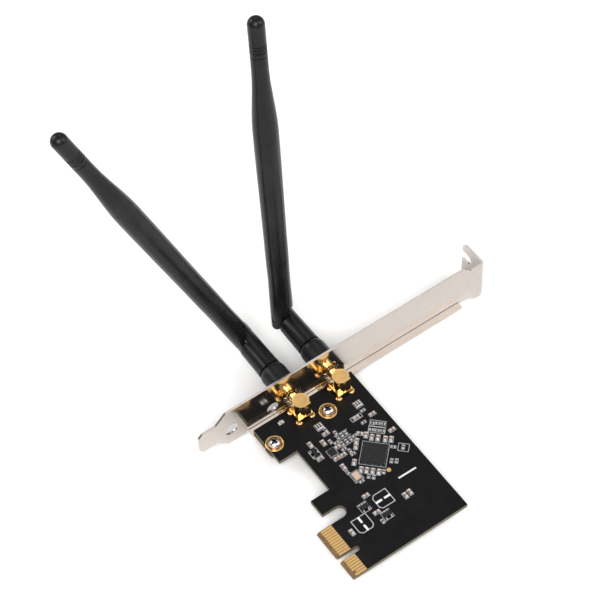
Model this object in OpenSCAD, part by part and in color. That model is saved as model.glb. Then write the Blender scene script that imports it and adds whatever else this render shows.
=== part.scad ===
// PCI Express x1 wireless network card with a full height slot bracket and two
// folding whip antennas. X = 0 is the outer face of the bracket, Y = 0 is the
// edge of the gold fingers and Z = 0 is the component side of the board.

/* [Circuit board] */
// board thickness
pcb_t = 1.57; // [1.4:0.01:1.8]
// board edge next to the bracket, X
pcb_x0 = 2.76; // [2:0.01:5]
// far edge of the board, X
pcb_x1 = 68.06; // [60:0.01:90]
// top edge of the board, Y
pcb_y1 = 46.5; // [35:0.1:70]
// bottom of the corner next to the bracket, Y
pcb_corner_y = 5.85; // [4:0.05:8]
// right end of that corner, X
pcb_corner_x = 18.1; // [12:0.1:25]
// floor of the wide notch and of the hook slot, Y
notch_y = 13.1; // [10:0.1:16]
// left side of the retention foot, X
foot_x0 = 36.6; // [30:0.1:40]
// right side of the retention foot, X
foot_x1 = 43.2; // [41:0.1:45]
// bottom of the retention foot, Y
foot_y = 5.5; // [4:0.1:8]
// centre of the key notch in the edge connector, X
key_x = 59.91; // [55:0.01:62]
// width of the key notch
key_w = 1.9; // [1.8:0.05:2]
// top of the key notch, Y
key_y = 8.2; // [6:0.1:9]

/* [Edge contacts] */
// contact pitch
pin_pitch = 1.0; // [0.8:0.1:1.27]
// contact width
pin_w = 0.7; // [0.5:0.05:0.8]
// bottom end of the contacts, Y
pin_y0 = 1.3; // [0.8:0.1:2]
// top end of the contacts, Y
pin_y1 = 5.6; // [4:0.1:6.5]
// contacts between the bracket side and the key
pins_a = 11; // [8:1:14]
// contacts beyond the key
pins_b = 7; // [4:1:10]

/* [Bracket] */
// sheet thickness
sheet_t = 0.86; // [0.7:0.01:1.2]
// lower edge of the strip, Z
strip_z0 = -2.43; // [-3:0.01:-1.6]
// upper edge of the strip, Z
strip_z1 = 15.99; // [14:0.01:18]
// height of the underside of the bent tab, Y
tab_y = 105.01; // [70:0.01:110]
// reach of the bent tab in front of the bracket
tab_reach = 10.57; // [9:0.01:13]
// sideways step below the tab
joggle = 3.1; // [2:0.1:4]
// width of the open screw slot
slot_w = 4.42; // [4:0.01:5]
// depth of the open screw slot
slot_d = 5.0; // [4:0.1:6]
// tip of the lower tongue, Y
tongue_y = -14.15; // [-16:0.05:-10]
// width of the lower tongue
tongue_w = 10.19; // [9:0.01:12]
// diameter of the two connector holes
port_d = 8.1; // [7:0.1:10]
// reach of the folded long edge, X
flange_x = 3.29; // [2:0.01:5]

/* [Antenna connectors] */
// lower connector axis, Y
port_y1 = 22.8; // [18:0.05:28]
// upper connector axis, Y
port_y2 = 39.35; // [34:0.05:42]
// connector axis above the board
port_z = 4.75; // [3:0.05:7]
// centre of the connector block, X
jack_x = 6.85; // [5:0.05:10]
// width of the connector block
jack_w = 5.9; // [5:0.1:8]
// top of the connector block, Z
jack_h = 8.3; // [6:0.1:10]
// outside diameter of the threaded barrel
barrel_d = 6.35; // [6:0.01:7]
// end of the threaded barrel, X
barrel_x = -8.6; // [-10:0.1:-6]

/* [Antennas] */
// outside diameter of the coupling nut
nut_d = 9.5; // [8:0.1:11]
// end of the coupling nut, X
nut_x = -11.2; // [-14:0.1:-10]
// hinge axis of both antennas, X
pivot_x = -27.8; // [-32:0.1:-22]
// diameter of the swivel next to the hinge
swivel_d = 8.2; // [7:0.1:10]
// hinge pin diameter
pin_d = 2.4; // [2:0.1:3]
// length from the hinge to the tip
whip_l = 122.9; // [60:1:180]
// blade diameter at the hinge
whip_d0 = 8.0; // [6:0.1:10]
// largest blade diameter
whip_d1 = 8.7; // [7:0.1:10]
// tip cap diameter
whip_d2 = 5.8; // [4:0.1:8]
// bend of the lower antenna as stored
bend_1 = 76.6; // [0:0.1:90]
// turn of the lower antenna about its connector
turn_1 = 111.2; // [0:0.1:180]
// bend of the upper antenna as stored
bend_2 = 77.6; // [0:0.1:90]
// turn of the upper antenna about its connector
turn_2 = 83.7; // [0:0.1:180]

/* [Hidden] */
$fn = 64;
eps = 0.05;
run = 0.05;
bend_r = 0.34;
out_r = bend_r + sheet_t;
pin_t = 0.05;
slot_x = foot_x1 + 4.56;
screw_x = 11.3;
screw_ys = [8.62, 30.7];
screw_r = 1.25;
ring_r = 3.2;
head_r = 2.15;
neck_r = 1.9;
leg = 2.54;
barrel_r = barrel_d / 2;
nut_bore = barrel_r + 0.06;
whip_joint = 108.5;
chip_x = 34.4;
chip_y = 33.2;
coil_a = [50, 25.3];
coil_b = [53.7, 14.4];
coil_pad_gap = 1.7;
pad_x = [for (i = [0:pins_a - 1]) key_x - 1.5 - (pins_a - 1 - i) * pin_pitch];
pad_x2 = [for (i = [0:pins_b - 1]) key_x + 1.5 + i * pin_pitch];

// box between two corners
module box(a, b) {
    translate(a)
        cube([b[0] - a[0], b[1] - a[1], b[2] - a[2]]);
}

// cylinder lying along X from x0 to x1
module rod_x(x0, x1, r) {
    translate([x0, 0, 0])
        rotate([0, 90, 0])
            cylinder(r = r, h = x1 - x0);
}

// cylinder lying along Y from y0 to y1
module rod_y(y0, y1, r) {
    translate([0, y1, 0])
        rotate([90, 0, 0])
            cylinder(r = r, h = y1 - y0);
}

// sheet of the bracket: a flat outline in Y and Z, extruded along X
module plate_x(x0, x1) {
    translate([x0, 0, 0])
        rotate([90, 0, 90])
            linear_extrude(x1 - x0)
                children();
}

// places its children on one connector axis
module on_port(y) {
    translate([0, y, port_z])
        children();
}

// ---- circuit board -----------------------------------------------------

module pcb_outline() {
    difference() {
        polygon([
            [pcb_x0, pcb_corner_y], [pcb_corner_x, pcb_corner_y], [pcb_corner_x, notch_y],
            [foot_x0, notch_y], [foot_x0, foot_y], [foot_x1, foot_y], [foot_x1, notch_y - 2.28],
            [slot_x, notch_y - 2.28], [slot_x, 0], [pcb_x1, 0], [pcb_x1, pcb_y1],
            [pcb_x0, pcb_y1]]);
        translate([(foot_x1 + slot_x) / 2, notch_y - 2.28])
            circle(r = (slot_x - foot_x1) / 2);
        translate([key_x - key_w / 2, -1])
            square([key_w, key_y - key_w / 2 + 1]);
        translate([key_x, key_y - key_w / 2])
            circle(r = key_w / 2);
    }
}

module pcb() {
    color([0.05, 0.05, 0.055])
        difference() {
            translate([0, 0, -pcb_t])
                linear_extrude(pcb_t)
                    pcb_outline();
            for (y = screw_ys)
                translate([screw_x, y, -pcb_t - 1])
                    cylinder(r = 1.35, h = pcb_t + 2);
            for (y = [port_y1, port_y2]) {
                for (i = [-1, 1], j = [-1, 1])
                    translate([jack_x + i * leg, y + j * leg, -pcb_t - 1])
                        cylinder(r = 0.8, h = pcb_t + 2, $fn = 32);
                translate([jack_x, y, -pcb_t - 1])
                    cylinder(r = 0.5, h = pcb_t + 2, $fn = 32);
            }
            for (s = [0, 1])
                translate([slot_x - 1, 0, s == 0 ? 0 : -pcb_t])
                    rotate([s == 0 ? 20 : -20, 0, 0])
                        translate([0, -3, s == 0 ? -0.42 : -2.58])
                            cube([pcb_x1 - slot_x + 2, 3.5, 3]);
        }
}

module contact_row(z) {
    for (x = concat(pad_x, pad_x2))
        box([x - pin_w / 2, pin_y0, z], [x + pin_w / 2, pin_y1, z + pin_t]);
}

module contacts_front() {
    color([0.86, 0.66, 0.3])
        contact_row(0);
}

module contacts_back() {
    color([0.86, 0.66, 0.3])
        contact_row(-pcb_t - pin_t);
}

module ground_rings() {
    color([0.86, 0.66, 0.3])
        for (y = screw_ys)
            translate([screw_x, y, 0])
                difference() {
                    cylinder(r = ring_r, h = pin_t);
                    translate([0, 0, -1])
                        cylinder(r = 1.35, h = 2);
                }
}

module bracket_screws() {
    color([0.8, 0.79, 0.77])
        for (y = screw_ys)
            translate([screw_x, y, pin_t])
                difference() {
                    union() {
                        cylinder(r = head_r, h = 0.8);
                        translate([0, 0, 0.8])
                            cylinder(r1 = head_r, r2 = 1.6, h = 0.7);
                        translate([0, 0, 1.5])
                            cylinder(r1 = 1.6, r2 = 0.9, h = 0.2);
                        translate([0, 0, -3.6])
                            cylinder(r = screw_r, h = 3.7);
                    }
                    for (a = [0, 90])
                        rotate([0, 0, a + 20])
                            box([-1.35, -0.3, 0.7], [1.35, 0.3, 2]);
                }
}

// ---- parts soldered to the board ---------------------------------------

module chip(x, y, a, w, l, h, z = 0.08) {
    translate([x, y, z])
        rotate([0, 0, a])
            translate([-w / 2, -l / 2, 0])
                cube([w, l, h]);
}

module radio_chip() {
    color([0.08, 0.08, 0.085])
        chip(chip_x, chip_y, 45, 8, 8, 0.85, 0);
}

module power_chips() {
    color([0.09, 0.09, 0.09]) {
        chip(25.6, 22.2, 0, 2.4, 2.4, 0.8, 0);
        chip(49, 18.4, 90, 2.9, 1.6, 1.1, 0);
        chip(55.6, 22.8, 90, 2.9, 1.6, 1.1, 0);
        chip(22.5, 17.3, 0, 2.9, 1.3, 1, 0);
    }
}

module crystal() {
    color([0.75, 0.73, 0.7])
        chip(37.9, 23.3, 0, 3.2, 2.5, 0.8, 0);
}

// small parts around the radio chip sit square to it: [across, up, turn]
ring_caps = [[-5.9, 7.2, 0], [-3.8, 7, 90], [-1.8, 6.4, 90], [0.3, 6.4, 90], [2.8, 6.4, 90],
    [4.8, 6.6, 90], [-6.6, 4, 90], [-6.5, 2, 90], [-6.1, -4.2, 90], [-3.4, -6.7, 90],
    [-1.5, -6.7, 90], [0.5, -6.7, 90], [2.6, -6.7, 90], [4.5, 10.4, 45]];
board_caps = [[18.9, 18, 0], [45.7, 21.4, 90], [54.2, 9.6, 0], [21.2, 42.1, 90],
    [32.4, 21.9, 0], [20.8, 22, 0], [18.3, 24.8, 90], [28.4, 22.2, 90], [28.5, 24.6, 90],
    [52.9, 20.6, 90], [53.4, 32, 0], [53.2, 34, 0], [24.9, 24.9, 90], [19.2, 36.9, 90],
    [25.2, 17.6, 90]];
ring_res = [[-2.5, 12, 0], [-0.5, 12.2, 0], [1.3, 12.2, 0], [-2.3, 9.4, 0], [-0.4, 9.4, 0],
    [1.4, 9.4, 0], [-5.4, 11.9, 45], [5.9, 3.8, 0], [6.1, -1.7, 90], [7.8, -1.5, 90],
    [-0.5, -8.8, 90], [1.2, -8.8, 90], [4.2, -6.3, 90], [-7.6, 6.2, 45], [9.2, 4.2, 90]];
board_res = [[20, 27.6, 0], [21.9, 27.2, 0], [21.9, 28.8, 0], [21.9, 30.4, 0], [24.8, 27, 0],
    [24.8, 28.7, 0], [24.8, 30.4, 0], [26.9, 26.2, 90], [28.6, 27.4, 0], [30.1, 27.6, 90],
    [21.8, 24.2, 0], [23.3, 25.6, 90], [56.8, 20.2, 0], [17, 25.6, 0], [18.2, 40.4, 90],
    [34.9, 21.8, 0], [40.4, 23.6, 90]];

module around_chip(p) {
    translate([chip_x, chip_y, 0])
        rotate([0, 0, 45])
            translate([p[0], p[1], 0])
                rotate([0, 0, p[2]])
                    children();
}

module on_board(p) {
    translate([p[0], p[1], 0])
        rotate([0, 0, p[2]])
            children();
}

module capacitors() {
    color([0.62, 0.55, 0.47]) {
        for (p = ring_caps)
            around_chip(p)
                box([-0.8, -0.4, 0], [0.8, 0.4, 0.8]);
        for (p = board_caps)
            on_board(p)
                box([-0.8, -0.4, 0], [0.8, 0.4, 0.8]);
    }
}

module resistors() {
    color([0.1, 0.1, 0.1]) {
        for (p = ring_res)
            around_chip(p)
                box([-0.5, -0.25, 0], [0.5, 0.25, 0.35]);
        for (p = board_res)
            on_board(p)
                box([-0.5, -0.25, 0], [0.5, 0.25, 0.35]);
    }
}

// long bare pads of the two power coils that are not fitted
module spare_pads() {
    color([0.75, 0.72, 0.66])
        for (d = [-coil_pad_gap, coil_pad_gap]) {
            translate([coil_a[0], coil_a[1] + d, 0])
                chip(0, 0, 0, 0.8, 2.5, pin_t, 0);
            translate([coil_b[0] + d, coil_b[1], 0])
                chip(0, 0, 90, 0.8, 2.5, pin_t, 0);
        }
}

module status_led() {
    color([0.85, 0.85, 0.8]) {
        box([5.35, 14, 0], [6.65, 16, 0.9]);
        translate([5.35, 15, 0.45])
            rotate([0, -90, 0])
                cylinder(r = 0.4, h = 0.3);
    }
}

module test_pad() {
    color([0.86, 0.66, 0.3])
        translate([42.2, 33.5, 0])
            cylinder(r = 0.8, h = pin_t);
}

module solder_joints() {
    color([0.75, 0.72, 0.66])
        for (y = [port_y1, port_y2], i = [-1, 1], j = [-1, 1])
            translate([jack_x + i * leg, y + j * leg, 0]) {
                difference() {
                    cylinder(r1 = 1.05, r2 = 0.75, h = 0.4, $fn = 32);
                    box([-0.45, -0.45, -1], [0.45, 0.45, 2]);
                }
                translate([0, 0, -pcb_t - 0.7])
                    difference() {
                        cylinder(r1 = 0.7, r2 = 1.05, h = 0.7, $fn = 32);
                        box([-0.45, -0.45, -1], [0.45, 0.45, 2]);
                    }
            }
}

// ---- bracket -----------------------------------------------------------

module strip_outline() {
    zc = (strip_z0 + strip_z1) / 2;
    t0 = zc - tongue_w / 2;
    t1 = zc + tongue_w / 2;
    top = tab_y + sheet_t - out_r;
    difference() {
        polygon([
            [tongue_y, t0 + 1.5], [tongue_y + 1.5, t0], [-7.3, t0], [-3.1, strip_z0],
            [99.3, strip_z0], [99.3 + joggle, strip_z0 - joggle], [top, strip_z0 - joggle],
            [top, strip_z1 - joggle], [97 + joggle, strip_z1 - joggle], [97, strip_z1],
            [-3.1, strip_z1], [-7.3, t1], [tongue_y + 1.5, t1], [tongue_y, t1 - 1.5]]);
        translate([4.4, strip_z0 - 1])
            square([95.4 - 4.4, 1 + out_r]);
        translate([-1.25, 5])
            circle(r = 2.65);
        translate([15.3, 3.2])
            circle(r = 2.3);
        for (y = [port_y1, port_y2])
            translate([y, port_z])
                circle(r = port_d / 2);
    }
}

// quarter round fold with its axis along the third direction
module fold(l) {
    intersection() {
        difference() {
            cylinder(r = out_r, h = l);
            translate([0, 0, -1])
                cylinder(r = bend_r, h = l + 2);
        }
        translate([0, 0, -1])
            cube([out_r + 1, out_r + 1, l + 2]);
    }
}

module bracket() {
    tz0 = strip_z0 - joggle;
    tz1 = strip_z1 - joggle;
    slot_z = (tz0 + tz1) / 2 + 2.9;
    color([0.75, 0.73, 0.7]) {
        difference() {
            union() {
                plate_x(0, sheet_t)
                    strip_outline();
                // long edge folded towards the board
                translate([out_r, 94.7, strip_z0 + out_r])
                    rotate([90, 180, 0])
                        fold(94.7 - 5.1);
                box([out_r, 5.1, strip_z0], [flange_x, 94.7, strip_z0 + sheet_t]);
                for (y = screw_ys)
                    box([flange_x - eps, max(y - 4, 5.1), strip_z0],
                        [screw_x + 3.2, y + 4, strip_z0 + sheet_t]);
                // bent top tab
                translate([sheet_t - out_r, tab_y + sheet_t - out_r, tz0])
                    fold(tz1 - tz0);
                box([-tab_reach, tab_y, tz0], [sheet_t - out_r, tab_y + sheet_t, tz1]);
            }
            for (y = screw_ys)
                translate([screw_x, y, strip_z0 - 1])
                    cylinder(r = screw_r, h = 3);
            // open screw slot in the tab
            box([-tab_reach - 1, tab_y - 1, slot_z - slot_w / 2],
                [-tab_reach + slot_d - slot_w / 2, tab_y + 2, slot_z + slot_w / 2]);
            translate([-tab_reach + slot_d - slot_w / 2, 0, slot_z])
                rod_y(tab_y - 1, tab_y + 2, slot_w / 2);
            // clipped tab corners
            for (z = [tz0, tz1])
                translate([-tab_reach, tab_y - 1, z])
                    rotate([0, 45, 0])
                        translate([-1, 0, -1])
                            cube([2, 3, 2]);
        }
    }
}

// ---- antenna connectors on the board -------------------------------------

// turned block with a wider top, on a square foot with four legs
module jack_body(y) {
    h = jack_w / 2;
    color([0.85, 0.68, 0.36])
        difference() {
            union() {
                translate([jack_x, y, 1.2])
                    cylinder(r = h - 0.3, h = jack_h - 1.2);
                translate([jack_x, y, jack_h - 1.1])
                    cylinder(r = h, h = 1.1);
                box([jack_x - h, y - h, 1.2], [jack_x + h, y + h, 1.9]);
                box([jack_x, y, 1.5], [jack_x + h - 0.05, y + h - 0.8, jack_h]);
                for (i = [-1, 1], j = [-1, 1])
                    translate([jack_x + i * leg, y + j * leg, 0])
                        box([-0.4, -0.4, -2.7], [0.4, 0.4, 1.4]);
                on_port(y)
                    rod_x(3.6, jack_x, neck_r);
            }
            on_port(y)
                rod_x(3, jack_x, 1.4);
            translate([jack_x, y, 3])
                cylinder(r = 1.7, h = 10);
            translate([jack_x, y, jack_h - 0.5])
                cylinder(r = 2.1, h = 2);
            translate([jack_x, y, 0])
                cylinder(r = 1, h = 5);
        }
}

module jack_cap(y) {
    color([0.85, 0.68, 0.36])
        translate([jack_x, y, jack_h - 0.5])
            cylinder(r = 2.1, h = 0.5);
}

module jack_barrel(y) {
    color([0.85, 0.68, 0.36])
        on_port(y)
            difference() {
                union() {
                    rod_x(0, 3.6, neck_r);
                    rod_x(barrel_x + 0.4, 0.1, barrel_r);
                    translate([barrel_x, 0, 0])
                        rotate([0, 90, 0])
                            cylinder(r1 = barrel_r - 0.4, r2 = barrel_r, h = 0.4);
                }
                rod_x(barrel_x - 1, -6.2, 2.3);
                rod_x(-7, 5, 1.4);
            }
}

module jack_insulator(y) {
    color([0.93, 0.93, 0.9])
        on_port(y)
            difference() {
                rod_x(-6, 5.1, 1.4);
                rod_x(-7, 6, 0.65);
            }
}

module jack_contact(y) {
    color([0.86, 0.66, 0.3]) {
        on_port(y) {
            rod_x(-6, jack_x + 0.46, 0.65);
            rod_x(-8, -5.9, 0.46);
        }
        translate([jack_x, y, -2.4])
            cylinder(r = 0.46, h = port_z + 2.4);
    }
}

// ---- antennas ----------------------------------------------------------

module ant_nut(y) {
    color([0.08, 0.08, 0.085])
        on_port(y)
            difference() {
                union() {
                    rod_x(nut_x + 2, -0.9, nut_d / 2);
                    translate([-0.9, 0, 0])
                        rotate([0, 90, 0])
                            cylinder(r1 = nut_d / 2, r2 = nut_d / 2 - 0.4, h = 0.5);
                    translate([nut_x + 0.7, 0, 0])
                        rotate([0, 90, 0])
                            cylinder(r1 = nut_d / 2 - 0.3, r2 = nut_d / 2, h = 1.3);
                    translate([nut_x, 0, 0])
                        rotate([0, 90, 0])
                            cylinder(r1 = nut_d / 2 - 0.8, r2 = nut_d / 2 - 0.3, h = 0.7);
                }
                rod_x(-8.8, 0, nut_bore);
                rod_x(-9.6, -8.7, 3.6);
                rod_x(nut_x - 1, -9, 3);
            }
}

module ant_ferrule(y) {
    color([0.85, 0.68, 0.36])
        on_port(y)
            difference() {
                union() {
                    rod_x(-9.3, -6.4, 2.25);
                    rod_x(-9.3, -8.9, 3.1);
                }
                rod_x(-10, -6, 1.55);
            }
}

module ant_plug_insulator(y) {
    color([0.93, 0.93, 0.9])
        on_port(y)
            difference() {
                rod_x(-12, -6.6, 1.55);
                rod_x(-13, -6, 0.9);
            }
}

module ant_plug_contact(y) {
    color([0.86, 0.66, 0.3])
        on_port(y)
            difference() {
                rod_x(-12, -6.7, 0.9);
                rod_x(-8.6, -6, 0.46 + run);
            }
}

// one half of the lap hinge: side is +1 or -1 along the hinge axis
module lap_ear(r, side, x0, x1) {
    intersection() {
        rod_x(min(x0, -r), max(x1, r), r);
        union() {
            rod_y(side > 0 ? 0.15 : -r - 1, side > 0 ? r + 1 : -0.15, r);
            box([x0, side > 0 ? 0.15 : -r - 1, -r - 1], [x1, side > 0 ? r + 1 : -0.15, r + 1]);
        }
    }
}

module turned(y, turn) {
    translate([0, y, port_z])
        rotate([turn - 90, 0, 0])
            children();
}

module ant_swivel(y, turn) {
    r = swivel_d / 2;
    color([0.08, 0.08, 0.085])
        turned(y, turn)
            difference() {
                union() {
                    rod_x(-12, -9.3, 2.95);
                    translate([pivot_x + 4.6, 0, 0])
                        rotate([0, 90, 0])
                            cylinder(r1 = r, r2 = r + 0.2, h = -11.5 - pivot_x - 4.6);
                    translate([pivot_x, 0, 0])
                        lap_ear(r, 1, 0, 4.65);
                }
                rod_x(-12, -9, 1.55);
                rod_x(pivot_x + 6, -11.9, 1);
                translate([pivot_x, 0, 0])
                    rod_y(-5, 5, pin_d / 2);
            }
}

module bent(y, turn, bend) {
    turned(y, turn)
        translate([pivot_x, 0, 0])
            rotate([0, bend, 0])
                children();
}

module ant_hinge_pin(y, turn) {
    color([0.1, 0.1, 0.1])
        turned(y, turn)
            translate([pivot_x, 0, 0])
                rod_y(-3.7, 3.7, pin_d / 2);
}

// widths along the blade, [distance from the hinge, diameter], blended smoothly
whip_keys = [[4.6, whip_d0], [16, whip_d0 - 0.25], [28, whip_d0], [79, whip_d1],
    [103.5, whip_d2]];
whip_steps = 6;

function ease(t) = t * t * (3 - 2 * t);

blade_profile = concat(
    [[0, whip_keys[0][0]]],
    [for (i = [0:len(whip_keys) - 2], k = [0:whip_steps - 1])
        let (a = whip_keys[i], b = whip_keys[i + 1], t = k / whip_steps)
            [(a[1] + (b[1] - a[1]) * ease(t)) / 2, a[0] + (b[0] - a[0]) * t]],
    [[whip_d2 / 2, 103.5], [whip_d2 / 2, whip_joint], [0, whip_joint]]);

module ant_blade(y, turn, bend) {
    color([0.08, 0.08, 0.085])
        bent(y, turn, bend)
            difference() {
                union() {
                    rotate([0, -90, 0])
                        rotate_extrude()
                            polygon(blade_profile);
                    lap_ear(whip_d0 / 2, -1, -4.65, 0);
                }
                rod_y(-5, 5, pin_d / 2 + run);
                rod_x(-15, -8, 1);
                rod_x(-whip_joint - 1, -14, 2.2);
            }
}

// tip cap: a plug in the blade, three shallow grooves and a round end
module ant_tip(y, turn, bend) {
    r = whip_d2 / 2;
    color([0.08, 0.08, 0.085])
        bent(y, turn, bend)
            rotate([0, -90, 0])
                rotate_extrude()
                    polygon([[0, whip_joint - 3], [2.2, whip_joint - 3], [2.2, whip_joint],
                        [r - 0.25, whip_joint], [r, whip_joint + 0.3],
                        for (g = [2.2, 3.4, 4.4], e = [[-0.3, 0], [-0.1, 0.2], [0.1, 0.2], [0.3, 0]])
                            [r - e[1], whip_joint + g + e[0]],
                        for (k = [0:6]) [r * cos(15 * k), whip_l - r + r * sin(15 * k)]]);
}

module ant_radiator(y, turn, bend) {
    color([0.85, 0.65, 0.35])
        bent(y, turn, bend)
            rotate([0, -90, 0])
                rotate_extrude()
                    polygon([[1.9, 44], [2.2, 44], [2.2, 77], [0.45, 77], [0.45, 103.5],
                        [0, 103.5], [0, 76], [1.9, 76]]);
}

module ant_coax(y, turn, bend) {
    color([0.12, 0.12, 0.12])
        bent(y, turn, bend)
            rod_x(-76, -9, 1);
}

module jack1_body() { jack_body(port_y1); }
module jack1_cap() { jack_cap(port_y1); }
module jack1_barrel() { jack_barrel(port_y1); }
module jack1_insulator() { jack_insulator(port_y1); }
module jack1_contact() { jack_contact(port_y1); }
module jack2_body() { jack_body(port_y2); }
module jack2_cap() { jack_cap(port_y2); }
module jack2_barrel() { jack_barrel(port_y2); }
module jack2_insulator() { jack_insulator(port_y2); }
module jack2_contact() { jack_contact(port_y2); }
module ant1_nut() { ant_nut(port_y1); }
module ant1_ferrule() { ant_ferrule(port_y1); }
module ant1_plug_insulator() { ant_plug_insulator(port_y1); }
module ant1_plug_contact() { ant_plug_contact(port_y1); }
module ant1_swivel() { ant_swivel(port_y1, turn_1); }
module ant1_hinge_pin() { ant_hinge_pin(port_y1, turn_1); }
module ant1_blade() { ant_blade(port_y1, turn_1, bend_1); }
module ant1_tip() { ant_tip(port_y1, turn_1, bend_1); }
module ant1_radiator() { ant_radiator(port_y1, turn_1, bend_1); }
module ant1_coax() { ant_coax(port_y1, turn_1, bend_1); }
module ant2_nut() { ant_nut(port_y2); }
module ant2_ferrule() { ant_ferrule(port_y2); }
module ant2_plug_insulator() { ant_plug_insulator(port_y2); }
module ant2_plug_contact() { ant_plug_contact(port_y2); }
module ant2_swivel() { ant_swivel(port_y2, turn_2); }
module ant2_hinge_pin() { ant_hinge_pin(port_y2, turn_2); }
module ant2_blade() { ant_blade(port_y2, turn_2, bend_2); }
module ant2_tip() { ant_tip(port_y2, turn_2, bend_2); }
module ant2_radiator() { ant_radiator(port_y2, turn_2, bend_2); }
module ant2_coax() { ant_coax(port_y2, turn_2, bend_2); }

pcb();
contacts_front();
contacts_back();
ground_rings();
bracket();
bracket_screws();
radio_chip();
power_chips();
crystal();
capacitors();
resistors();
spare_pads();
status_led();
test_pad();
solder_joints();
jack1_body();
jack1_cap();
jack1_barrel();
jack1_insulator();
jack1_contact();
jack2_body();
jack2_cap();
jack2_barrel();
jack2_insulator();
jack2_contact();
ant1_nut();
ant1_ferrule();
ant1_plug_insulator();
ant1_plug_contact();
ant1_swivel();
ant1_hinge_pin();
ant1_blade();
ant1_tip();
ant1_radiator();
ant1_coax();
ant2_nut();
ant2_ferrule();
ant2_plug_insulator();
ant2_plug_contact();
ant2_swivel();
ant2_hinge_pin();
ant2_blade();
ant2_tip();
ant2_radiator();
ant2_coax();
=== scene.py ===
import math
import random
import bpy
import bmesh
from mathutils import Matrix, Vector


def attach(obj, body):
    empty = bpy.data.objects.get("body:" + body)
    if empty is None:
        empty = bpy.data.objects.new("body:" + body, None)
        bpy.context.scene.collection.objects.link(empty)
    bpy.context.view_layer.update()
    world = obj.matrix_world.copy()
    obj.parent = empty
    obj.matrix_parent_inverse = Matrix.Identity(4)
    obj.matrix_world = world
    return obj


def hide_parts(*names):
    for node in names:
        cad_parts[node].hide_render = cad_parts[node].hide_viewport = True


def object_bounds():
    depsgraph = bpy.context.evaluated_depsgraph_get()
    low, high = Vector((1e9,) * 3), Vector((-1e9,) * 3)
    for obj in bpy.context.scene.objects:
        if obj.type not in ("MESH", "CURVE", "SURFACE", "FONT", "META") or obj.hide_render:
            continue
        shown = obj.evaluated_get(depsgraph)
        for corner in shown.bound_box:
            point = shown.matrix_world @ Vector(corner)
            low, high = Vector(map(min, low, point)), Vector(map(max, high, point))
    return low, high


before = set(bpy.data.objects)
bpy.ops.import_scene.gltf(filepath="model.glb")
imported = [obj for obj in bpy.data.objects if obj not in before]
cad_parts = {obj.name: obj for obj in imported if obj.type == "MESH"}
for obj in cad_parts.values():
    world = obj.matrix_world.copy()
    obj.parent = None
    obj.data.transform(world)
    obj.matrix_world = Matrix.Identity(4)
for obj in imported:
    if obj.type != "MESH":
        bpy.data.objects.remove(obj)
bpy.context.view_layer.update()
MM = 0.001

# sizes shared with the CAD, in millimetres
PORTS = (22.8, 39.35)
PORT_Z = 4.75
JACK_X = 6.85
PIVOT_X = -27.8
BEND = (76.6, 77.6)
TURN = (111.2, 83.7)
CHIP = (34.4, 33.2)
FILTERS = ((15.3, 40.5), (14.9, 24.6))
SCREWS = ((11.3, 8.62), (11.3, 30.7))
RING_CAPS = [(-5.9, 7.2, 0), (-3.8, 7, 90), (-1.8, 6.4, 90), (0.3, 6.4, 90), (2.8, 6.4, 90),
             (4.8, 6.6, 90), (-6.6, 4, 90), (-6.5, 2, 90), (-6.1, -4.2, 90), (-3.4, -6.7, 90),
             (-1.5, -6.7, 90), (0.5, -6.7, 90), (2.6, -6.7, 90), (4.5, 10.4, 45)]
BOARD_CAPS = [(18.9, 18, 0), (45.7, 21.4, 90), (54.2, 9.6, 0), (21.2, 42.1, 90), (32.4, 21.9, 0),
              (20.8, 22, 0), (18.3, 24.8, 90), (28.4, 22.2, 90), (28.5, 24.6, 90),
              (52.9, 20.6, 90), (53.4, 32, 0), (53.2, 34, 0), (24.9, 24.9, 90), (19.2, 36.9, 90),
              (25.2, 17.6, 90)]
RING_RES = [(-2.5, 12, 0), (-0.5, 12.2, 0), (1.3, 12.2, 0), (-2.3, 9.4, 0), (-0.4, 9.4, 0),
            (1.4, 9.4, 0), (-5.4, 11.9, 45), (5.9, 3.8, 0), (6.1, -1.7, 90), (7.8, -1.5, 90),
            (-0.5, -8.8, 90), (1.2, -8.8, 90), (4.2, -6.3, 90), (-7.6, 6.2, 45), (9.2, 4.2, 90)]
BOARD_RES = [(20, 27.6, 0), (21.9, 27.2, 0), (21.9, 28.8, 0), (21.9, 30.4, 0), (24.8, 27, 0),
             (24.8, 28.7, 0), (24.8, 30.4, 0), (26.9, 26.2, 90), (28.6, 27.4, 0),
             (30.1, 27.6, 90), (21.8, 24.2, 0), (23.3, 25.6, 90), (56.8, 20.2, 0), (17, 25.6, 0),
             (18.2, 40.4, 90), (34.9, 21.8, 0), (40.4, 23.6, 90)]
COILS = ((50.0, 25.3), (53.7, 14.4))
CRYSTAL = (37.9, 23.3)
SMALL_RADIO = (25.6, 22.2)
SMALL_CHIPS = ((49, 18.4, 90, 3), (55.6, 22.8, 90, 3), (22.5, 17.3, 0, 2))
LIGHT = (6.0, 15.0)
TEST_PAD = (42.2, 33.5)
FINGERS = [48.41 + i for i in range(11)] + [61.41 + i for i in range(7)]
NOTCH_X = 59.91

# where the solder mask ends above the fingers, and the heights of copper under the mask
BARE_X, BARE_Y = 47, 5.72
RUN_Z = (-0.01, 0.016)
UNDERSIDE_RUN_Z = (-1.586, -1.56)


# ---- materials -----------------------------------------------------------

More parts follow.
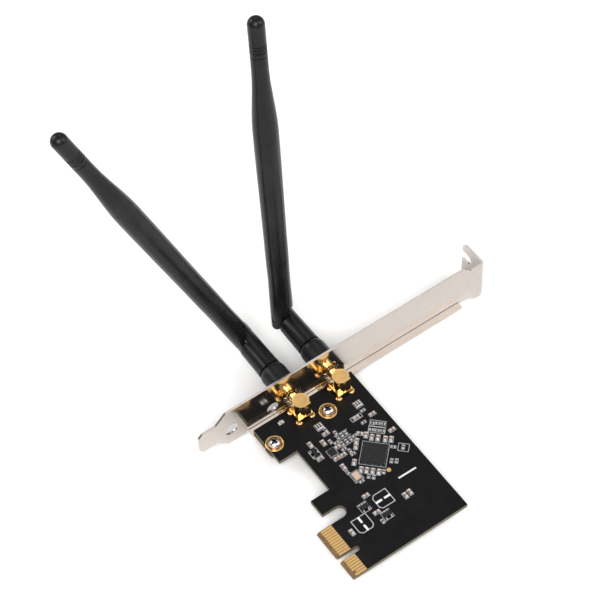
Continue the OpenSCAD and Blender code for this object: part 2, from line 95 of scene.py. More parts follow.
class Nodes:
    """Small helper that builds one node material."""

    def __init__(self, name):
        self.mat = bpy.data.materials.new(name)
        self.mat.use_nodes = True
        self.tree = self.mat.node_tree
        self.tree.nodes.clear()
        out = self.add("ShaderNodeOutputMaterial")
        self.bsdf = self.add("ShaderNodeBsdfPrincipled")
        self.link(self.bsdf.outputs[0], out.inputs[0])
        self.coord = self.add("ShaderNodeTexCoord").outputs["Object"]

    def add(self, kind, **settings):
        node = self.tree.nodes.new(kind)
        for key, value in settings.items():
            setattr(node, key, value)
        return node

    def link(self, a, b):
        self.tree.links.new(a, b)

    def stretched(self, scale):
        node = self.add("ShaderNodeMapping")
        node.inputs["Scale"].default_value = scale
        self.link(self.coord, node.inputs["Vector"])
        return node.outputs[0]

    def noise(self, size_mm, detail=3.0, rough=0.55, stretch=None):
        node = self.add("ShaderNodeTexNoise")
        node.inputs["Scale"].default_value = 1000.0 / size_mm
        node.inputs["Detail"].default_value = detail
        node.inputs["Roughness"].default_value = rough
        self.link(self.stretched(stretch) if stretch else self.coord, node.inputs["Vector"])
        return node.outputs["Fac"]

    def cells(self, size_mm):
        node = self.add("ShaderNodeTexVoronoi", feature="F1")
        node.inputs["Scale"].default_value = 1000.0 / size_mm
        self.link(self.coord, node.inputs["Vector"])
        return node.outputs["Distance"]

    def ranged(self, value, lo, hi, a=0.3, b=0.7):
        node = self.add("ShaderNodeMapRange")
        node.inputs["From Min"].default_value = a
        node.inputs["From Max"].default_value = b
        node.inputs["To Min"].default_value = lo
        node.inputs["To Max"].default_value = hi
        self.link(value, node.inputs["Value"])
        return node.outputs[0]

    def blend(self, fac, a, b):
        node = self.add("ShaderNodeMix", data_type="RGBA")
        for value, socket in ((fac, node.inputs[0]), (a, node.inputs[6]), (b, node.inputs[7])):
            if isinstance(value, (int, float)):
                socket.default_value = value
            elif isinstance(value, tuple):
                socket.default_value = (*value, 1.0)
            else:
                self.link(value, socket)
        return node.outputs[2]

    def maths(self, op, a, b=0.0):
        node = self.add("ShaderNodeMath", operation=op)
        for value, socket in ((a, node.inputs[0]), (b, node.inputs[1])):
            if isinstance(value, (int, float)):
                socket.default_value = value
            else:
                self.link(value, socket)
        return node.outputs[0]

    def edges(self, radius_mm):
        """0 on flat faces, 1 on convex or concave edges."""
        bevel = self.add("ShaderNodeBevel", samples=4)
        bevel.inputs["Radius"].default_value = radius_mm * MM
        geometry = self.add("ShaderNodeNewGeometry")
        dot = self.add("ShaderNodeVectorMath", operation="DOT_PRODUCT")
        self.link(bevel.outputs[0], dot.inputs[0])
        self.link(geometry.outputs["Normal"], dot.inputs[1])
        return self.ranged(dot.outputs["Value"], 1.0, 0.0, 0.75, 0.98)

    def relief(self, *layers):
        """Stacks bump layers given as (height value, depth in millimetres)."""
        normal = None
        for height, depth in layers:
            bump = self.add("ShaderNodeBump")
            bump.inputs["Strength"].default_value = 1.0
            bump.inputs["Distance"].default_value = depth * MM
            self.link(height, bump.inputs["Height"])
            if normal is not None:
                self.link(normal, bump.inputs["Normal"])
            normal = bump.outputs[0]
        self.link(normal, self.bsdf.inputs["Normal"])

    def put(self, **values):
        for key, value in values.items():
            socket = self.bsdf.inputs[key.replace("_", " ")]
            if isinstance(value, tuple):
                socket.default_value = (*value, 1.0)
            elif isinstance(value, (int, float)):
                socket.default_value = value
            else:
                self.link(value, socket)
        return self.mat


def moulded(name, base, rough, grain=0.012):
    """Satin moulded plastic with a fine spark-eroded grain and paler handled edges."""
    n = Nodes(name)
    patch = n.noise(9.0, 2.0)
    fine = n.noise(0.35, 2.0)
    grime = n.noise(2.2, 4.0)
    dark = tuple(c * 0.8 for c in base)
    light = tuple(min(1, c * 1.3 + 0.004) for c in base)
    worn = tuple(min(1, c * 1.8 + 0.02) for c in base)
    colour = n.blend(n.ranged(patch, 0, 1), dark, light)
    colour = n.blend(n.maths("MULTIPLY", n.edges(0.35), n.ranged(grime, 0, 0.7)), colour, worn)
    n.relief((fine, grain), (n.noise(0.12, 1.0), grain * 0.4))
    return n.put(Base_Color=colour, Roughness=n.ranged(grime, rough - 0.06, rough + 0.07),
                 Specular_IOR_Level=0.22)


def plated(name, base, rough, dull, grain_mm=0.5, stretch=(1, 1, 1), depth=0.0015, aniso=0.0):
    """Plated metal with faint forming lines, dulled patches and bright worn edges."""
    n = Nodes(name)
    lines = n.noise(grain_mm, 3.0, 0.6, stretch)
    patch = n.noise(6.0, 4.0)
    spots = n.noise(0.9, 5.0, 0.7)
    colour = n.blend(n.ranged(patch, 0.0, 0.5), base, dull)
    colour = n.blend(n.ranged(spots, 0.0, 0.25, 0.5, 0.75), colour, tuple(c * 0.7 for c in dull))
    bright = tuple(min(1, c * 1.12 + 0.02) for c in base)
    colour = n.blend(n.maths("MULTIPLY", n.edges(0.18), 0.6), colour, bright)
    both = n.maths("ADD", n.ranged(patch, -0.03, 0.05), n.ranged(lines, rough - 0.03, rough + 0.05))
    n.relief((lines, depth), (n.noise(3.5, 2.0), depth * 4))
    return n.put(Base_Color=colour, Metallic=1.0, Roughness=both, Anisotropic=aniso)


def mask_material(name, base, rough):
    """Solder mask over copper: faint copper pattern, orange peel and tiny covered vias."""
    n = Nodes(name)
    peel = n.noise(0.5, 2.0)
    pattern = n.noise(5.0, 2.0)
    colour = n.blend(n.ranged(pattern, 0, 1), tuple(c * 0.85 for c in base),
                     tuple(c * 1.25 for c in base))
    vias = n.ranged(n.cells(2.4), 1.0, 0.0, 0.04, 0.1)
    colour = n.blend(n.maths("MULTIPLY", vias, 0.5), colour, tuple(c * 2.2 for c in base))
    n.relief((peel, 0.004), (vias, 0.006), (n.noise(14.0, 1.0), 0.02))
    return n.put(Base_Color=colour, Roughness=n.ranged(peel, rough - 0.05, rough + 0.06),
                 Specular_IOR_Level=0.08)


def laminate(name, tone=(0.62, 0.6, 0.56)):
    """Glass-fibre laminate: fine layers and pale fibre ends."""
    n = Nodes(name)
    layers = n.noise(0.12, 2.0, 0.5, (0.12, 0.12, 1.0))
    fibre = n.noise(0.3, 4.0, 0.7)
    tones = [tuple(c * k for c, k in zip(t, tone))
             for t in ((0.09, 0.085, 0.05), (0.24, 0.225, 0.15), (0.4, 0.38, 0.28))]
    colour = n.blend(n.ranged(layers, 0, 1, 0.35, 0.65), tones[0], tones[1])
    colour = n.blend(n.ranged(fibre, 0, 0.6, 0.5, 0.8), colour, tones[2])
    n.relief((fibre, 0.02), (layers, 0.012))
    return n.put(Base_Color=colour, Roughness=n.ranged(fibre, 0.5, 0.75))


def ink(name, base):
    """Screen-printed ink, slightly uneven and matt."""
    n = Nodes(name)
    patch = n.noise(0.25, 3.0)
    colour = n.blend(n.ranged(patch, 0, 1), tuple(c * 0.72 for c in base), base)
    n.relief((patch, 0.008))
    return n.put(Base_Color=colour, Roughness=n.ranged(patch, 0.5, 0.7))


def ceramic(name, base):
    n = Nodes(name)
    speck = n.noise(0.12, 3.0)
    colour = n.blend(n.ranged(speck, 0, 1), tuple(c * 0.75 for c in base),
                     tuple(min(1, c * 1.2) for c in base))
    n.relief((speck, 0.006))
    return n.put(Base_Color=colour, Roughness=n.ranged(speck, 0.4, 0.6))


def epoxy(name, base):
    """Matt chip package with a fine sparkle of filler."""
    n = Nodes(name)
    speck = n.noise(0.1, 2.0)
    patch = n.noise(3.0, 3.0)
    colour = n.blend(n.ranged(patch, 0, 1), tuple(c * 0.8 for c in base),
                     tuple(c * 1.3 for c in base))
    n.relief((speck, 0.006))
    return n.put(Base_Color=colour, Roughness=n.ranged(patch, 0.42, 0.58),
                 Specular_IOR_Level=0.2)


def soft_white(name):
    n = Nodes(name)
    patch = n.noise(1.5, 3.0)
    colour = n.blend(n.ranged(patch, 0, 1), (0.78, 0.78, 0.74), (0.88, 0.88, 0.86))
    n.relief((n.noise(0.2, 2.0), 0.004))
    return n.put(Base_Color=colour, Roughness=n.ranged(patch, 0.35, 0.5),
                 Subsurface_Weight=0.15, Subsurface_Scale=0.0005)


def resin(name):
    n = Nodes(name)
    patch = n.noise(0.8, 3.0)
    colour = n.blend(n.ranged(patch, 0, 1), (0.4, 0.4, 0.36), (0.55, 0.56, 0.5))
    n.relief((patch, 0.004))
    return n.put(Base_Color=colour, Roughness=n.ranged(patch, 0.1, 0.25), Transmission_Weight=0.35,
                 IOR=1.5)


MAT = {
    "whip": moulded("whip_black", (0.006, 0.0055, 0.006), 0.24, 0.003),
    "nut": moulded("nut_black", (0.007, 0.007, 0.0075), 0.3, 0.004),
    "pin": moulded("pin_black", (0.02, 0.02, 0.021), 0.3, 0.004),
    "nickel": plated("bracket_nickel", (0.55, 0.51, 0.475), 0.13, (0.49, 0.45, 0.42), 0.7,
                     (1, 0.06, 1), 0.0007, 0.25),
    "steel": plated("screw_nickel", (0.78, 0.77, 0.75), 0.18, (0.62, 0.61, 0.6), 0.3),
    # near-black metal for the screws' cross recess: painted shade inside the recess
    "recess": plated("screw_recess", (0.1, 0.09, 0.085), 0.4, (0.06, 0.055, 0.05), 0.3),
    "gold_top": plated("connector_gold_top", (0.84, 0.56, 0.23), 0.4, (0.74, 0.47, 0.18), 0.6),
    "gold": plated("connector_gold", (0.86, 0.6, 0.25), 0.08, (0.72, 0.47, 0.2), 0.3,
                   (1, 1, 0.2), 0.002),
    "finger": plated("finger_gold", (0.76, 0.52, 0.22), 0.5, (0.7, 0.46, 0.18), 1.5,
                     (1, 0.2, 1), 0.0004),
    "ring": plated("ring_gold", (0.84, 0.55, 0.22), 0.2, (0.6, 0.36, 0.13), 0.4),
    # darker gold for the inner flat zone of the ring pads: painted shade under the screw heads
    "ring_flat_painted_shade": plated("ring_flat_painted_shade", (0.4, 0.22, 0.09), 0.25, (0.26, 0.13, 0.05), 0.6),
    "pad_tin": plated("pad_tin", (0.95, 0.94, 0.92), 0.55, (0.9, 0.89, 0.87), 0.3),
    "copper_gold": plated("solder_gold", (0.82, 0.5, 0.2), 0.22, (0.62, 0.34, 0.14), 0.4),
    "solder": plated("solder_tin", (0.72, 0.71, 0.69), 0.26, (0.5, 0.49, 0.47), 0.4),
    "tin": plated("end_tin", (0.88, 0.87, 0.86), 0.45, (0.75, 0.74, 0.73), 0.25),
    "can": plated("crystal_lid", (0.82, 0.62, 0.5), 0.45, (0.74, 0.54, 0.43), 0.5),
    "mask": mask_material("board_mask", (0.0055, 0.0055, 0.0062), 0.3),
    "trace": mask_material("trace_mask", (0.009, 0.009, 0.01), 0.27),
    "bare": laminate("bare_laminate", (0.9, 0.5, 0.24)),
    "laminate": laminate("board_edge"),
    "ink": ink("legend_ink", (0.5, 0.5, 0.52)),
    "ink_bright": ink("legend_ink_bright", (0.72, 0.72, 0.74)),
    "capacitor": ceramic("capacitor_body", (0.3, 0.2, 0.15)),
    "resistor": ceramic("resistor_body", (0.02, 0.02, 0.022)),
    "base": ceramic("crystal_base", (0.3, 0.27, 0.24)),
    "chip": epoxy("chip_package", (0.014, 0.0135, 0.014)),
    "ptfe": soft_white("insulator_white"),
    "resin": resin("light_resin"),
    "jacket": moulded("cable_jacket", (0.02, 0.02, 0.02), 0.55),
}


# ---- mesh helpers --------------------------------------------------------

def finish_piece(name, bm, materials, body, replaces=(), sharp=35, weighted=True):
    mesh = bpy.data.meshes.new(name)
    bmesh.ops.recalc_face_normals(bm, faces=bm.faces)
    bm.to_mesh(mesh)
    bm.free()
    for m in materials:
        mesh.materials.append(MAT[m])
    mesh.shade_smooth()
    mesh.set_sharp_from_angle(angle=math.radians(sharp))
    obj = bpy.data.objects.new(name, mesh)
    bpy.context.scene.collection.objects.link(obj)
    if weighted:
        mod = obj.modifiers.new("normals", "WEIGHTED_NORMAL")
        mod.keep_sharp = True
    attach(obj, body)
    if replaces:
        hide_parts(*replaces)


def cad_mesh(node):
    """Copy of a CAD node's mesh with flat areas joined into single faces."""
    bm = bmesh.new()
    bm.from_mesh(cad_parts[node].data)
    bmesh.ops.remove_doubles(bm, verts=bm.verts, dist=1e-6)
    bmesh.ops.dissolve_limit(bm, angle_limit=math.radians(0.6), verts=bm.verts, edges=bm.edges)
    return bm


def round_edges(bm, width_mm, angle=30, segments=2):
    edges = [e for e in bm.edges if len(e.link_faces) == 2
             and e.calc_face_angle(0) > math.radians(angle)]
    bmesh.ops.bevel(bm, geom=edges, offset=width_mm * MM, segments=segments, profile=0.5,
                    affect="EDGES", clamp_overlap=True)


def refined(node, name, material, body, width_mm, angle=35, segments=2, sharp=35):
    """A CAD node's own shape with rounded edges."""
    bm = cad_mesh(node)
    round_edges(bm, width_mm, angle, segments)
    finish_piece(name, bm, [material], body, (node,), sharp)


def add_box(bm, size, centre, turn=0.0, bevel=0.0, mat=0):
    """Bevelled block, all in millimetres."""
    new = bmesh.ops.create_cube(bm, size=1.0)["verts"]
    bmesh.ops.scale(bm, vec=Vector(size) * MM, verts=new)
    if bevel:
        edges = list({e for v in new for e in v.link_edges})
        out = bmesh.ops.bevel(bm, geom=edges, offset=bevel * MM, segments=2, profile=0.5,
                              affect="EDGES")
        new = list({v for f in out["faces"] for v in f.verts})
    place = Matrix.Translation(Vector(centre) * MM) @ Matrix.Rotation(math.radians(turn), 4, "Z")
    bmesh.ops.transform(bm, matrix=place, verts=new)
    for f in {f for v in new for f in v.link_faces}:
        f.material_index = mat


def add_lathe(bm, profile, matrix, segments=64, mat=0, closed=False):
    """Turns [(radius, height)] about Z in millimetres and places it with matrix."""
    rings = []
    for r, z in profile:
        if r < 1e-6:
            rings.append([bm.verts.new(matrix @ Vector((0, 0, z * MM)))])
            continue
        ring = []
        for i in range(segments):
            a = 2 * math.pi * i / segments
            ring.append(bm.verts.new(matrix @ Vector((r * math.cos(a) * MM, r * math.sin(a) * MM,
                                                      z * MM))))
        rings.append(ring)
    pairs = list(zip(rings, rings[1:]))
    if closed:
        pairs.append((rings[-1], rings[0]))
    for lo, hi in pairs:
        for i in range(segments):
            j = (i + 1) % segments
            corner = [lo[i % len(lo)], lo[j % len(lo)], hi[j % len(hi)], hi[i % len(hi)]]
            corner = list(dict.fromkeys(corner))
            if len(corner) > 2:
                bm.faces.new(corner).material_index = mat


def along(origin, direction=(0, 0, 1)):
    """Frame with its Z along direction and its origin in millimetres."""
    z = Vector(direction).normalized()
    x = Vector((0, 0, 1)).cross(z)
    if x.length < 1e-6:
        x = Vector((1, 0, 0)).cross(z)
    x.normalize()
    y = z.cross(x)
    m = Matrix((x, y, z)).transposed().to_4x4()
    m.translation = Vector(origin) * MM
    return m


def add_ribbon(bm, points, width, z0, z1, closed=False, mat=0):
    """Flat printed line of one width with mitred corners, from z0 to z1."""
    pts = [Vector((p[0], p[1])) for p in points]
    n = len(pts)
    left, right = [], []
    for i, p in enumerate(pts):
        before = pts[i - 1] if (closed or i) else None
        after = pts[(i + 1) % n] if (closed or i < n - 1) else None
        d0 = (p - before).normalized() if before is not None else (after - p).normalized()
        d1 = (after - p).normalized() if after is not None else d0
        side = Vector((-(d0.y + d1.y), d0.x + d1.x))
        side.normalize()
        cos = max(0.35, side.dot(Vector((-d0.y, d0.x))))
        off = side * (width / 2 / cos)
        left.append(p + off)
        right.append(p - off)
    top = [[bm.verts.new((v.x * MM, v.y * MM, z1 * MM)) for v in s] for s in (left, right)]
    low = [[bm.verts.new((v.x * MM, v.y * MM, z0 * MM)) for v in s] for s in (left, right)]
    count = n if closed else n - 1
    for i in range(count):
        j = (i + 1) % n
        for quad in ((top[0][i], top[0][j], top[1][j], top[1][i]),
                     (low[0][i], low[0][j], top[0][j], top[0][i]),
                     (low[1][i], low[1][j], top[1][j], top[1][i])):
            bm.faces.new(quad).material_index = mat
    if not closed:
        for i in (0, n - 1):
            bm.faces.new((low[0][i], top[0][i], top[1][i], low[1][i])).material_index = mat


def turned_point(x, y, turn, px, py):
    c, s = math.cos(math.radians(turn)), math.sin(math.radians(turn))
    return x + c * px - s * py, y + s * px + c * py


def on_chip(p):
    x, y = turned_point(*CHIP, 45, p[0], p[1])
    return x, y, 45 + p[2]


# ---- board ---------------------------------------------------------------

def build_board():
    bm = cad_mesh("pcb")
    round_edges(bm, 0.06, 30, 1)
    bm.faces.ensure_lookup_table()
    bmesh.ops.recalc_face_normals(bm, faces=bm.faces)
    bmesh.ops.bisect_plane(bm, geom=list(bm.verts) + list(bm.edges) + list(bm.faces),
                           plane_co=(BARE_X * MM, BARE_Y * MM, 0), plane_no=(0, 1, 0))
    for f in bm.faces:
        f.normal_update()
        mid = f.calc_center_median() / MM
        flat = abs(f.normal.z) > 0.9
        bare = mid.x > BARE_X and mid.y < BARE_Y
        f.material_index = (2 if bare else 0) if flat else 1
    finish_piece("board", bm, ["mask", "laminate", "bare"], "card", ("pcb",))

    # copper under the mask: raised runs with 45 degree corners
    rng = random.Random(7)
    bm = bmesh.new()

    def run_line(points, width, heights=RUN_Z):
        for a, b in zip(points, points[1:]):
            for k in range(9):
                if not on_mask(a[0] + (b[0] - a[0]) * k / 8, a[1] + (b[1] - a[1]) * k / 8):
                    return
        add_ribbon(bm, points, width, *heights)

    for i, x in enumerate(FINGERS[:11]):
        run = 1.2 + 0.3 * (10 - i)
        run_line([(x, 5.75), (x, 8.6 + run * 0.3), (x - run * 0.5, 9 + run),
                  (x - run * 0.5, 10 + run * 1.2)], 0.28)
    for i, x in enumerate(FINGERS[11:]):
        run_line([(x, 5.75), (x, 7.2 + 0.5 * i), (x - 1.2 - 0.3 * i, 8.6 + 0.8 * i),
                  (x - 1.2 - 0.3 * i, 11.5 + i)], 0.28)
    for k in range(6):
        x0, y0 = turned_point(*CHIP, 45, -2.5 + k, -4.6)
        x1, y1 = x0 + 5 + 0.5 * k, y0 - 5 - 0.5 * k
        run_line([(x0, y0), (x1, y1), (x1 + 4 - 0.2 * k, y1 - 0.001),
                  (x1 + 8, y1 - 4 + 0.4 * k)], 0.22)
    for y, (px, py) in zip(PORTS, ((-4.6, -1.5), (-4.6, 2.0))):
        x0, y0 = turned_point(*CHIP, 45, px, py)
        run_line([(x0, y0), (x0 - 6, y0 + (y - y0) * 0.5), (JACK_X + 7, y),
                  (JACK_X + 3.6, y)], 0.5)
    for heights, count, clear in (((-0.01, 0.014), 26, 9), ((-1.584, -1.56), 90, 0)):
        for _ in range(count):
            x, y = rng.uniform(12, 64), rng.uniform(9, 44)
            if math.hypot(x - CHIP[0], y - CHIP[1]) < clear:
                continue
            length = rng.uniform(2, 7)
            turn = rng.choice((0, 90, 45, 135))
            x1, y1 = turned_point(x, y, turn, length, 0)
            x2, y2 = turned_point(x1, y1, turn + 45, 1.5, 0)
            run_line([(x, y), (x1, y1), (x2, y2)], 0.2, heights)
    for i, x in enumerate(FINGERS):
        run_line([(x, 5.75), (x, 8.9 + (i * 7 % 5) * 0.9)], 0.28, UNDERSIDE_RUN_Z)
    finish_piece("copper_runs", bm, ["trace"], "card", (), weighted=False)


def on_mask(x, y):
    """True where the board's flat faces carry solder mask, clear of edges and holes."""
    if not 3.3 < x < 67.5 or not 5.74 < y < 46:
        return False
    if y < 13.7 and 17.6 < x < 37.2:
        return False
    if y < 13.7 and 42.7 < x < 48.2 or y < 6.4 and x < 47:
        return False
    if y < 8.6 and abs(x - NOTCH_X) < 1.35:
        return False
    if any(math.hypot(x - a, y - b) < 3.6 for a, b in SCREWS):
        return False
    return all(max(abs(x - JACK_X), abs(y - p)) > 3.8 for p in PORTS)


def build_contacts():
    y1 = 5.62
    for name, node, z0, z1, short in (("fingers_front", "contacts_front", -0.01, 0.05, 16),
                                      ("fingers_back", "contacts_back", -1.62, -1.56, 0)):
        bm = bmesh.new()
        for i, x in enumerate(FINGERS):
            y0 = 2.2 if i == short else 1.3
            add_box(bm, (0.74, y1 - y0, z1 - z0), (x, (y0 + y1) / 2, (z0 + z1) / 2), 0, 0.015)
        finish_piece(name, bm, ["finger"], "card", (node,))


def build_rings():
    bm = bmesh.new()
    for x, y in SCREWS:
        profile = [(1.36, 0.0), (1.36, 0.045), (1.42, 0.05), (2.72, 0.05), (2.82, 0.1),
                   (2.95, 0.15), (3.08, 0.14), (3.17, 0.09), (3.2, 0.0)]
        add_lathe(bm, profile, along((x, y, 0)), 72)
    # the low flat faces of each pad take the darker gold: painted shade under the screw head
    for f in bm.faces:
        f.normal_update()
        low = f.calc_center_median().z < 0.06 * MM
        f.material_index = 1 if low and abs(f.normal.z) > 0.9 else 0
    finish_piece("ring_pads", bm, ["ring", "ring_flat_painted_shade"], "card", ("ground_rings",))


def build_screws():
    pieces = []
    for x, y in SCREWS:
        bm = bmesh.new()
        head = [(0, 1.74), (0.5, 1.71), (0.95, 1.62), (1.35, 1.46), (1.7, 1.22), (1.95, 0.94),
                (2.1, 0.62), (2.15, 0.36), (2.15, 0.14), (2.08, 0.06), (1.25, 0.06), (1.25, 0.0)]
        thread = []
        z = -2.35
        while z > -3.35:
            thread += [(1.25, z), (1.06, z - 0.225)]
            z -= 0.45
        body = head + [(1.25, -2.3)] + thread + [(0.95, -3.5), (0.0, -3.5)]
        add_lathe(bm, body, along((x, y, 0)), 48)
        bmesh.ops.recalc_face_normals(bm, faces=bm.faces)
        mesh = bpy.data.meshes.new("screw")
        bm.to_mesh(mesh)
        bm.free()
        head_obj = bpy.data.objects.new("screw", mesh)

        # cross recess: one plus-shaped cutter that narrows downwards
        cutter = bmesh.new()
        rings = []
        for z, long, wide in ((0.55, 0.7, 0.2), (2.2, 1.7, 0.42)):
            ring = []
            for quarter in range(4):
                for px, py in ((wide, wide), (wide, long), (-wide, long)):
                    px, py = turned_point(x, y, 90 * quarter + 20, px, py)
                    ring.append(cutter.verts.new((px * MM, py * MM, z * MM)))
            rings.append(ring)
        for k in range(12):
            cutter.faces.new((rings[0][k], rings[0][(k + 1) % 12], rings[1][(k + 1) % 12],
                              rings[1][k]))
        cutter.faces.new(rings[1])
        cutter.faces.new(rings[0])
        bmesh.ops.recalc_face_normals(cutter, faces=cutter.faces)
        cut_mesh = bpy.data.meshes.new("cut")
        cutter.to_mesh(cut_mesh)
        cutter.free()
        cut = bpy.data.objects.new("cut", cut_mesh)
        for o in (head_obj, cut):
            bpy.context.scene.collection.objects.link(o)
        mod = head_obj.modifiers.new("cross", "BOOLEAN")
        mod.operation = "DIFFERENCE"
        mod.solver = "EXACT"
        mod.object = cut
        dg = bpy.context.evaluated_depsgraph_get()
        bm = bmesh.new()
        bm.from_mesh(head_obj.evaluated_get(dg).to_mesh())
        for o in (head_obj, cut):
            bpy.data.objects.remove(o)
        # faces inside the cross recess take the near-black metal: painted shade in the hollow
        for f in bm.faces:
            c = f.calc_center_median() / MM
            r = math.hypot(c.x - x, c.y - y)
            f.material_index = 1 if r < 1.72 and 0.5 < c.z < 1.66 - 0.17 * r * r else 0
        pieces.append(bm)
    for i, bm in enumerate(pieces):
        finish_piece("screw_%d" % (i + 1), bm, ["steel", "recess"], "card",
                     ("bracket_screws",) if i == 0 else ())


# ---- small parts ---------------------------------------------------------

def chip_part(bm, x, y, turn, length, width, height, cap):
    """Two-terminal chip part on its pads: body 0, tinned end 1, solder 2."""
    c, s = math.cos(math.radians(turn)), math.sin(math.radians(turn))
    band = length * (0.24 if cap else 0.2)
    add_box(bm, (length - 2 * band + 0.05, width, height - 0.03), (x, y, height / 2), turn,
            0.04 if cap else 0.02, 0)
    for side in (-1, 1):
        d = side * (length - band) / 2
        add_box(bm, (band, width + 0.01, height), (x + c * d, y + s * d, height / 2), turn,
                0.05 if cap else 0.03, 1)
        d = side * (length / 2 + 0.06)
        add_box(bm, (0.34, width + 0.16, 0.1), (x + c * d, y + s * d, 0.045), turn, 0.03, 2)
        d = side * (length / 2 + 0.02)
        add_box(bm, (0.2, width * 0.9, height * 0.55), (x + c * d, y + s * d, height * 0.25),
                turn, 0.06, 2)


def build_passives():
    bm = bmesh.new()
    for x, y, turn in [on_chip(p) for p in RING_CAPS] + list(BOARD_CAPS):
        chip_part(bm, x, y, turn, 1.6, 0.8, 0.8, True)
    finish_piece("chip_capacitors", bm, ["capacitor", "tin", "solder"], "card", ("capacitors",))
    bm = bmesh.new()
    for x, y, turn in [on_chip(p) for p in RING_RES] + list(BOARD_RES):
        chip_part(bm, x, y, turn, 1.0, 0.5, 0.35, False)
    finish_piece("chip_resistors", bm, ["resistor", "tin", "solder"], "card", ("resistors",))


def build_chips():
    bm = bmesh.new()
    x, y = CHIP
    add_box(bm, (7.96, 7.96, 0.8), (x, y, 0.44), 45, 0.06, 0)
    for side in range(4):
        for k in range(-7, 8):
            px, py = turned_point(x, y, 45 + 90 * side, 3.96, k * 0.5)
            add_box(bm, (0.22, 0.26, 0.16), (px, py, 0.08), 45 + 90 * side, 0.02, 1)
    dx, dy = turned_point(x, y, 45, 3.1, -3.1)
    add_lathe(bm, [(0.36, 0.845), (0.3, 0.846), (0.25, 0.843), (0.0, 0.842)],
              along((dx, dy, 0)), 32)
    finish_piece("radio_package", bm, ["chip", "solder"], "card", ("radio_chip",))

    bm = bmesh.new()
    add_box(bm, (2.4, 2.4, 0.75), (*SMALL_RADIO, 0.42), 0, 0.05, 0)
    for side in range(4):
        for k in (-0.75, -0.25, 0.25, 0.75):
            px, py = turned_point(*SMALL_RADIO, 90 * side, 1.2, k)
            add_box(bm, (0.22, 0.24, 0.14), (px, py, 0.07), 90 * side, 0.02, 1)
    for x, y, turn, pins in SMALL_CHIPS:
        wide = 1.6 if pins == 3 else 1.3
        add_box(bm, (2.9, wide, 0.85), (x, y, 0.62), turn, 0.12, 0)
        spots = [(-0.95, 1), (0.0, 1), (0.95, 1), (-0.95, -1), (0.95, -1)]
        if pins == 2:
            spots = [(-0.95, -1), (0.95, -1), (0.0, 1)]
        for px, side in spots:
            for dy, dz, size in ((0.15, 0.45, (0.38, 0.3, 0.12)), (0.33, 0.25, (0.38, 0.12, 0.5)),
                                 (0.55, 0.06, (0.38, 0.5, 0.12)), (0.7, 0.03, (0.55, 0.5, 0.06))):
                cx, cy = turned_point(x, y, turn, px, side * (wide / 2 + dy - 0.1))
                add_box(bm, size, (cx, cy, dz), turn, 0.02, 1)
    finish_piece("small_packages", bm, ["chip", "solder"], "card", ("power_chips",))


def build_other_parts():
    bm = bmesh.new()
    x, y = CRYSTAL
    add_box(bm, (3.2, 2.5, 0.45), (x, y, 0.225), 0, 0.05, 0)
    add_box(bm, (2.9, 2.2, 0.36), (x, y, 0.6), 0, 0.14, 1)
    for sx in (-1, 1):
        for sy in (-1, 1):
            add_box(bm, (0.9, 0.8, 0.07), (x + sx * 1.25, y + sy * 0.95, 0.035), 0, 0.02, 2)
    finish_piece("crystal_can", bm, ["base", "can", "solder"], "card", ("crystal",))

    bm = bmesh.new()
    for (x, y), turn in zip(COILS, (0, 90)):
        for side in (-1.7, 1.7):
            px, py = turned_point(x, y, turn, 0, side)
            add_box(bm, (0.8, 2.5, 0.05), (px, py, 0.025), turn, 0.02, 0)
            add_box(bm, (0.6, 2.25, 0.07), (px, py, 0.055), turn, 0.03, 0)
    finish_piece("bare_coil_pads", bm, ["pad_tin"], "card", ("spare_pads",))

    bm = bmesh.new()
    x, y = LIGHT
    add_box(bm, (1.3, 1.1, 0.85), (x, y, 0.45), 0, 0.08, 0)
    for side in (-1, 1):
        add_box(bm, (1.28, 0.5, 0.6), (x, y + side * 0.78, 0.31), 0, 0.05, 1)
    dome = [(0.4, 0.0), (0.4, 0.1), (0.36, 0.19), (0.26, 0.26), (0.13, 0.295), (0.0, 0.3)]
    add_lathe(bm, dome, along((x - 0.63, y, 0.45), (-1, 0, 0)), 32)
    finish_piece("side_light", bm, ["resin", "tin"], "card", ("status_led",))

    # three-ended filters next to the connectors: long end at +X, three fingers towards -X
    bm = bmesh.new()
    for x, y in FILTERS:
        add_box(bm, (1.5, 2.3, 0.4), (x - 0.2, y, 0.22), 0, 0.03, 0)
        add_box(bm, (0.55, 2.5, 0.46), (x + 0.75, y, 0.25), 0, 0.06, 1)
        for k in (-0.9, 0, 0.9):
            add_box(bm, (1.15, 0.34, 0.46), (x - 0.35, y + k, 0.24), 0, 0.05, 1)
            add_box(bm, (0.5, 0.5, 0.06), (x - 1.1, y + k, 0.03), 0, 0.02, 1)
    finish_piece("output_filters", bm, ["resistor", "tin"], "card", ())

    bm = bmesh.new()
    add_lathe(bm, [(0.8, 0.0), (0.78, 0.04), (0.7, 0.05), (0.3, 0.05), (0.0, 0.045)],
              along((*TEST_PAD, 0)), 40)
    finish_piece("test_point", bm, ["finger"], "card", ("test_pad",))


